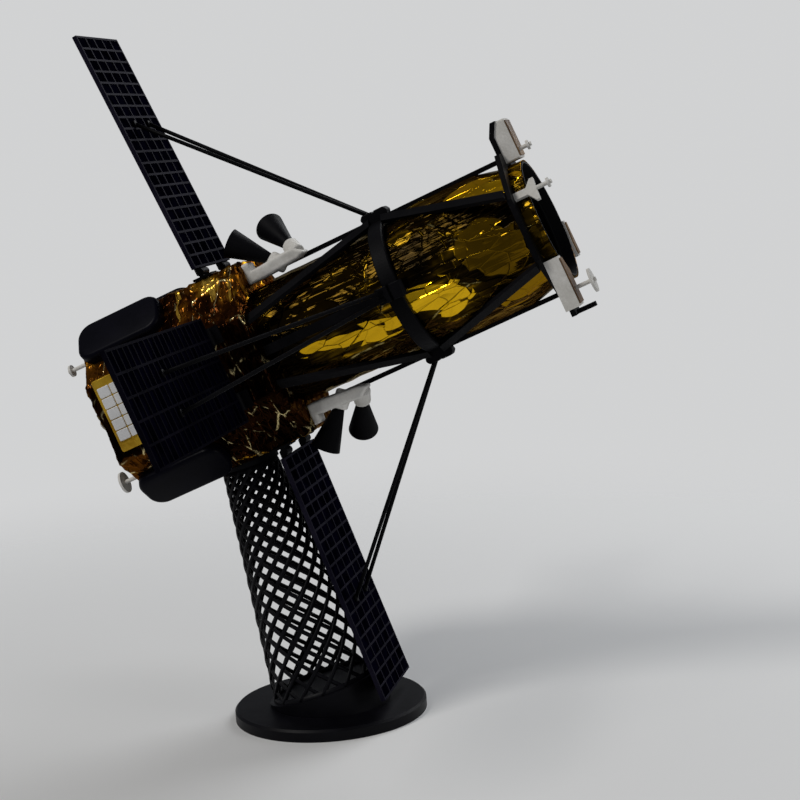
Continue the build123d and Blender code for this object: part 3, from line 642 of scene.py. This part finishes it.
def buildTubeFoil():
    shape = tubeFoilShape
    circumference = math.tau * shape["radius"]
    creases = tubeCreases(shape, circumference)
    steps = round((shape["end"] - shape["start"]) / shape["step"])
    rings = []
    for step in range(steps + 1):
        x = shape["start"] + (shape["end"] - shape["start"]) * step / steps
        share = max(0.0, min(1.0, (x - shape["puffFrom"]) / (shape["puffTo"] - shape["puffFrom"])))
        puff = shape["puff"] * min(1.0, shape["puffRise"] * share, shape["puffFall"] * (1 - share))
        ring = []
        for index in range(shape["around"]):
            turn = index / shape["around"]
            angle = math.tau * turn
            place = Vector((x / shape["waveLength"], math.cos(angle) * shape["waveTurns"],
                            math.sin(angle) * shape["waveTurns"]))
            height = shape["wave"] * noise.noise(place)
            height += creaseHeight(x, turn, creases, circumference, shape)
            radius = shape["radius"] - shape["inset"] + max(shape["lowest"], min(shape["highest"], height))
            radius += puff * abs(math.sin(angle)) ** shape["puffPower"]
            ring.append((x, radius * math.cos(angle), radius * math.sin(angle)))
        rings.append(ring)
    rings.append(circle(shape["radius"] - shape["lip"], shape["around"], shape["end"] - shape["lipDepth"]))
    bm = bmesh.new()
    loft(bm, rings)
    return addPiece("tubeFoilSkin", bm, tubeFoil, ("telescope_tube",))


buildTubeFoil()
print("tube foil done")


# Lattice column: two sets of strands wound round a cone at 45 degrees, with a band at each end
latticeShape = {"length": 175.617, "topRadius": 19.7, "taper": math.radians(6.16), "capHeight": 3.5,
                "footHeight": 12.0, "strands": 14, "strandRadius": 1.5, "flat": 0.7, "sides": 8,
                "stepLength": 2.1, "layerGap": 0.25, "bandHeight": 3.0, "wall": 1.9, "bandSides": 72}


def buildLattice():
    shape = latticeShape
    top, foot = shape["length"] - shape["capHeight"], shape["footHeight"]
    slope = math.tan(shape["taper"])
    strandDepth = shape["strandRadius"] * shape["flat"]

    def coneRadius(height):
        return shape["topRadius"] + slope * (top - height) - strandDepth

    bm = bmesh.new()
    steps = round((top - foot) / shape["stepLength"])
    for hand in (1, -1):
        for strand in range(shape["strands"]):
            turn = math.tau * strand / shape["strands"]
            path = []
            for step in range(steps + 1):
                height = foot + (top - foot) * step / steps
                radius = coneRadius(height) + hand * shape["layerGap"]
                path.append(Vector((radius * math.cos(turn), radius * math.sin(turn), height)))
                turn += hand * (top - foot) / steps / radius
            tubeAlong(bm, path, shape["strandRadius"], shape["sides"], shape["flat"])
    for low in (foot, top - shape["bandHeight"]):
        rings = []
        for height, inset in ((0, 0), (1, 0), (1, 1), (0, 1), (0, 0)):
            z = low + height * shape["bandHeight"]
            radius = coneRadius(z) + strandDepth - inset * shape["wall"]
            rings.append([(side, up, along) for along, side, up in circle(radius, shape["bandSides"], z)])
        loft(bm, rings)
    return addPiece("latticeColumn", bm, standBlack, ("stand_column",), place=columnMatrix)


buildLattice()
print("lattice done")


# Black slabs on the slanting sides, thick with round corners; shifts move them sideways along each side
slabShape = {"length": 64.0, "width": 31.0, "shifts": (10.6, -6.4, 6.4, -10.6), "corner": 11.0,
             "thickness": 8.2, "round": 3.0, "reach": 62.6, "rear": 0.6, "sunk": 2.5, "cornerSteps": 8,
             "roundSteps": 5}


def roundedOutline(length, width, corner, steps):
    points = []
    for quarter, (sx, sy) in enumerate(((1, 1), (-1, 1), (-1, -1), (1, -1))):
        for step in range(steps + 1):
            angle = math.pi / 2 * (quarter + step / steps)
            points.append((sx * (length / 2 - corner) + corner * math.cos(angle),
                           sy * (width / 2 - corner) + corner * math.sin(angle)))
    return points


def buildSlabs():
    shape = slabShape
    levels = [(-shape["sunk"], 0.0)]
    for step in range(shape["roundSteps"] + 1):
        angle = math.pi / 2 * step / shape["roundSteps"]
        levels.append((shape["thickness"] - shape["round"] * (1 - math.sin(angle)),
                       shape["round"] * (1 - math.cos(angle))))
    middle = shape["rear"] + shape["length"] / 2
    bm = bmesh.new()
    for quarter, shift in enumerate(shape["shifts"]):
        turn = Matrix.Rotation(math.pi / 4 + math.pi / 2 * quarter, 3, "X")
        rings = []
        for height, inset in levels:
            outline = roundedOutline(shape["length"] - 2 * inset, shape["width"] - 2 * inset,
                                     shape["corner"] - inset, shape["cornerSteps"])
            rings.append([turn @ Vector((middle + x, y + shift, shape["reach"] + height))
                          for x, y in outline])
        loft(bm, rings, capEnds=True)
    return addPiece("softSlabs", bm, slabBlack, ("chamfer_slabs",))


buildSlabs()
print("slabs done")


# Gold plate on the near flat and the white tiles on it
plateShape = {"length": 46.0, "height": 51.0, "left": 7.2, "top": 30.0, "corner": 1.5, "cornerSteps": 4,
              "face": 62.0, "thickness": 1.3, "sunk": 1.0, "edge": 0.3, "faceShare": 0.99, "cells": 40,
              "ripple": 0.16, "rippleSize": 6, "rippleRow": 3}
tileShape = {"left": 9.3, "top": 24.2, "width": 8.5, "height": 7.1, "gap": 0.6, "columns": 2, "rows": 5,
             "thickness": 0.9, "round": 0.35, "corner": 0.8, "cornerSteps": 3, "sunk": 0.3}


def buildPlate():
    shape = plateShape
    middle = (shape["left"] + shape["length"] / 2, shape["top"] - shape["height"] / 2)
    outline = roundedOutline(shape["length"], shape["height"], shape["corner"], shape["cornerSteps"])

    # The outline at a share of its size, at a depth or at one depth for each point
    def ring(size, depths):
        return [(middle[0] + x * size, -shape["face"] - depth, middle[1] + z * size)
                for (x, z), depth in zip(outline, depths)]

    thickness, count = shape["thickness"], len(outline)
    rings = [ring(1.0, [-shape["sunk"]] * count), ring(1.0, [thickness - shape["edge"]] * count),
             ring(shape["faceShare"], [thickness] * count)]
    for cell in range(shape["cells"] - 1, 0, -1):
        size = shape["faceShare"] * cell / shape["cells"]
        places = [Vector((x * size / shape["rippleSize"], z * size / shape["rippleSize"], shape["rippleRow"]))
                  for x, z in outline]
        rings.append(ring(size, [thickness + shape["ripple"] * noise.noise(place) for place in places]))
    bm = bmesh.new()
    loft(bm, rings, capEnds=True)
    return addPiece("tilePlateSheet", bm, plateFoil, ("tile_plate",))


def buildTiles():
    shape = tileShape
    level = plateShape["face"] + plateShape["thickness"]
    sides = ((-shape["sunk"], 0.0), (shape["thickness"] - shape["round"], 0.0),
             (shape["thickness"], shape["round"]))
    bm = bmesh.new()
    for column in range(shape["columns"]):
        for row in range(shape["rows"]):
            middle = (shape["left"] + shape["width"] / 2 + column * (shape["width"] + shape["gap"]),
                      shape["top"] - shape["height"] / 2 - row * (shape["height"] + shape["gap"]))
            rings = []
            for depth, inset in sides:
                outline = roundedOutline(shape["width"] - 2 * inset, shape["height"] - 2 * inset,
                                         shape["corner"], shape["cornerSteps"])
                rings.append([(middle[0] + x, -level - depth, middle[1] + z) for x, z in outline])
            loft(bm, rings, capEnds=True)
    return addPiece("bevelledTiles", bm, whiteTile, ("side_tiles",), smooth=False)


buildPlate()
buildTiles()
print("plate and tiles done")


# Ring round the telescope with four forked lugs
ringShape = {"middle": 216.1, "width": 10.5, "inner": 43.1, "outer": 47.0, "bevel": 0.7, "bevelSteps": 2,
             "around": 120, "crown": 54.5, "root": 45.6, "depth": 11.0, "foot": 17.0, "top": 20.0,
             "crownDrop": 2.5, "crownInset": 2.0, "slot": 1.5, "slotBase": 52.0}


def buildRing():
    shape = ringShape
    half, bevel = shape["width"] / 2, shape["bevel"]
    inner, outer = shape["inner"], shape["outer"]
    section = [(-half, inner), (-half, outer - bevel), (-half + bevel, outer), (half - bevel, outer),
               (half, outer - bevel), (half, inner), (-half, inner)]
    bm = bmesh.new()
    loft(bm, [circle(radius, shape["around"], shape["middle"] + x) for x, radius in section])
    foot, top, slot = shape["foot"] / 2, shape["top"] / 2, shape["slot"] / 2
    crown, shoulder, inset = shape["crown"], shape["crown"] - shape["crownDrop"], shape["crownInset"]
    profile = [(-foot, shape["root"]), (foot, shape["root"]), (top, shoulder), (top - inset, crown),
               (slot, crown), (slot, shape["slotBase"]), (-slot, shape["slotBase"]), (-slot, crown),
               (-top + inset, crown), (-top, shoulder)]
    for quarter in range(4):
        turn = Matrix.Rotation(math.pi / 2 * quarter, 3, "X")
        lug = bmesh.new()
        rings = [[turn @ Vector((shape["middle"] + x, side * shape["depth"] / 2, z)) for x, z in profile]
                 for side in (-1, 1)]
        loft(lug, rings, capEnds=True)
        bmesh.ops.bevel(lug, geom=list(lug.edges), offset=bevel, segments=shape["bevelSteps"],
                        affect="EDGES", profile=0.5)
        part = bpy.data.meshes.new("lugPart")
        lug.to_mesh(part)
        lug.free()
        bm.from_mesh(part)
        bpy.data.meshes.remove(part)
    return addPiece("forkedRing", bm, blackPlastic, ("middle_ring",), smooth=False)


buildRing()
print("ring done")


# The near wing, its tip a little further forward than its neighbours
nearWingShape = {"hinge": (97.0, -66.4), "lean": math.radians(1.3)}


def buildNearWing():
    shape = nearWingShape
    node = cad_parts["wing_near"]
    pin = Matrix.Translation(Vector((*shape["hinge"], 0)) * mm)
    leaning = pin @ Matrix.Rotation(shape["lean"], 4, "Z") @ pin.inverted()
    bm = bmesh.new()
    bm.from_mesh(node.data)
    bmesh.ops.transform(bm, matrix=craftMatrix @ leaning @ craftMatrix.inverted() @ node.matrix_world,
                        verts=bm.verts)
    return addPiece("nearWingPanel", bm, wingSidewaysShaded, ("wing_near",), smooth=False,
                    place=Matrix(), scale=1.0)


buildNearWing()
print("near wing done")


# Twin rods from each lug to the wing, with round pads; padRings gives each pad's rings by height and size
rodShape = {"radius": 1.4, "sides": 12, "steps": 6, "lug": (212.6, 2.4, 52.2), "pad": (98.5, 13.0, 177.0),
            "hinge": (97.0, 66.4), "lift": 0.4, "padRadius": 2.6, "padThickness": 1.4, "padSides": 20,
            "padRings": ((0.0, 1.0), (0.8, 1.0), (1.0, 0.85))}


def buildRods(name, turnDegrees, leanDegrees):
    shape = rodShape
    turn = Matrix.Rotation(math.radians(turnDegrees), 3, "X")
    hinge = Vector((shape["hinge"][0], 0, shape["hinge"][1]))
    lean = Matrix.Rotation(math.radians(leanDegrees), 3, "Y")

    def onWing(point):
        return turn @ (hinge + lean @ (Vector(point) - hinge))

    x, y, z = shape["pad"]
    bm = bmesh.new()
    for side in (-1, 1):
        lug = turn @ Vector((shape["lug"][0], side * shape["lug"][1], shape["lug"][2]))
        end = onWing((x + shape["lift"], side * y, z))
        path = [lug.lerp(end, step / shape["steps"]) for step in range(shape["steps"] + 1)]
        tubeAlong(bm, path, shape["radius"], shape["sides"])
        rings = []
        for height, size in shape["padRings"]:
            outline = circle(size * shape["padRadius"], shape["padSides"], x + height * shape["padThickness"])
            rings.append([onWing((px, side * y + py, z + pz)) for px, py, pz in outline])
        loft(bm, rings, capEnds=True)
    return addPiece(name + "Round", bm, blackPlastic, (name,))


# Node, turn round the craft and lean of its wing, in degrees
for nodeName, turnDegrees, leanDegrees in (("rods_up", 0, -2.4), ("rods_near", 90, 1.3),
                                           ("rods_down", 180, -2.4), ("rods_far", 270, 0.0)):
    buildRods(nodeName, turnDegrees, leanDegrees)
print("rods done")


# Sensor brackets, printed and sanded, so their edges are soft and lumpy
bracketShape = {"voxel": 0.55, "smoothing": 0.5, "smoothRounds": 9, "lump": 0.5, "lumpSize": 6.0,
                "swell": 0.75}


def buildBracket(nodeName):
    shape = bracketShape
    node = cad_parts[nodeName]
    mesh = node.data.copy()
    mesh.transform(node.matrix_world)
    source = bpy.data.objects.new(nodeName + "Source", mesh)
    scene.collection.objects.link(source)
    remesh = source.modifiers.new("remesh", "REMESH")
    remesh.mode, remesh.voxel_size = "VOXEL", shape["voxel"] * mm
    relax = source.modifiers.new("relax", "SMOOTH")
    relax.factor, relax.iterations = shape["smoothing"], shape["smoothRounds"]
    bpy.context.view_layer.update()
    seen = source.evaluated_get(bpy.context.evaluated_depsgraph_get())
    bm = bmesh.new()
    bm.from_mesh(seen.to_mesh())
    seen.to_mesh_clear()
    bpy.data.objects.remove(source)
    bm.normal_update()
    for vert in bm.verts:
        lump = noise.noise(vert.co / (shape["lumpSize"] * mm)) * shape["lump"] + shape["swell"]
        vert.co += vert.normal * lump * mm
    return addPiece(nodeName + "Soft", bm, whitePlastic, (nodeName,), place=Matrix(),
                    scale=1.0)


for nodeName in ("sensor_bracket_top", "sensor_bracket_low"):
    buildBracket(nodeName)
print("brackets done")


# Floor, lights and camera; the floor fades into the backdrop, by metres from the middle
floorShape = {"radius": 1.3, "segments": 96, "colour": (0.78, 0.78, 0.775), "rough": 0.7,
              "fadeFrom": 0.22, "fadeTo": 1.0}
studio = {"fillColour": (0.15, 0.155, 0.165), "backdropColour": (0.64, 0.645, 0.65),
          "target": (0.0, 0.0, 0.25)}
# Place in metres, size, power in watts, colour
lamps = [
    {"name": "keyLamp", "place": (-0.9, -0.9, 1.6), "size": 0.55, "power": 15.0, "colour": (1.0, 0.98, 0.95)},
    {"name": "backLamp", "place": (0.6, 1.3, 1.3), "size": 1.2, "power": 15.0, "colour": (0.96, 0.98, 1.0)},
    {"name": "sideLamp", "place": (1.6, -0.5, 0.7), "size": 0.8, "power": 3.5, "colour": (1.0, 1.0, 1.0)},
]


def buildFloor():
    shape = floorShape
    bm = bmesh.new()
    bmesh.ops.create_circle(bm, cap_ends=True, segments=shape["segments"], radius=shape["radius"])
    mesh = bpy.data.meshes.new("floor")
    bm.to_mesh(mesh)
    bm.free()
    floor = bpy.data.objects.new("floor", mesh)
    scene.collection.objects.link(floor)
    material = bpy.data.materials.new("paleFloor")
    material.use_nodes = True
    tree = material.node_tree
    shader = tree.nodes["Principled BSDF"]
    shader.inputs["Base Color"].default_value = (*shape["colour"], 1)
    shader.inputs["Roughness"].default_value = shape["rough"]
    place = addNode(tree, "ShaderNodeTexCoord").outputs["Object"]
    away = addNode(tree, "ShaderNodeVectorMath", {0: place}, operation="LENGTH").outputs["Value"]
    tree.links.new(mapRange(tree, away, shape["fadeFrom"], shape["fadeTo"], 1.0, 0.0), shader.inputs["Alpha"])
    mesh.materials.append(material)


def buildWorld():
    world = bpy.data.worlds.new("studio")
    scene.world = world
    world.use_nodes = True
    tree = world.node_tree
    background = tree.nodes["Background"]
    seen = addNode(tree, "ShaderNodeLightPath").outputs["Is Camera Ray"]
    colour = mixColour(tree, seen, studio["fillColour"], studio["backdropColour"])
    tree.links.new(colour, background.inputs["Color"])
    background.inputs["Strength"].default_value = 1.0


def buildLamps():
    target = Vector(studio["target"])
    for lamp in lamps:
        data = bpy.data.lights.new(lamp["name"], "AREA")
        data.shape = "DISK"
        data.size, data.energy, data.color = lamp["size"], lamp["power"], lamp["colour"]
        light = bpy.data.objects.new(lamp["name"], data)
        light.location = lamp["place"]
        light.rotation_euler = (Vector(lamp["place"]) - target).to_track_quat("Z", "Y").to_euler()
        scene.collection.objects.link(light)


# Focal length in pixels, turns of the craft in the picture, its origin in the camera's axes in mm,
# the picture's size and the row that the camera looks at, in pixels, and the clipping in metres
cameraFit = {"focal": 1810.52, "roll": math.radians(25.088), "turn": math.radians(13.848),
             "tip": math.radians(-0.257), "origin": (-184.695, -84.160, -1261.286), "centreRow": 292.0,
             "frame": 800, "clip": (0.01, 50)}


def buildCamera():
    fit = cameraFit
    roll, turn, tip = fit["roll"], fit["turn"], fit["tip"]
    forward = Vector((math.cos(turn) * math.cos(roll), math.cos(turn) * math.sin(roll), math.sin(turn)))
    upward = Vector((-math.sin(roll), math.cos(roll), 0))
    upward = upward * math.cos(tip) + forward.cross(upward) * math.sin(tip)
    sideways = upward.cross(forward)
    inCamera = Matrix((forward, sideways, upward)).transposed().to_4x4()
    inCamera.translation = Vector(fit["origin"]) * mm
    data = bpy.data.cameras.new("photoCamera")
    camera = bpy.data.objects.new("photoCamera", data)
    camera.matrix_world = craftMatrix @ inCamera.inverted()
    data.lens = data.sensor_width * fit["focal"] / fit["frame"]
    data.shift_y = (fit["centreRow"] - fit["frame"] / 2) / fit["frame"]
    data.clip_start, data.clip_end = fit["clip"]
    scene.collection.objects.link(camera)
    scene.camera = camera


buildFloor()
buildWorld()
buildLamps()
buildCamera()
scene.view_settings.view_transform = "Standard"
print("stage, lamps and camera ready")
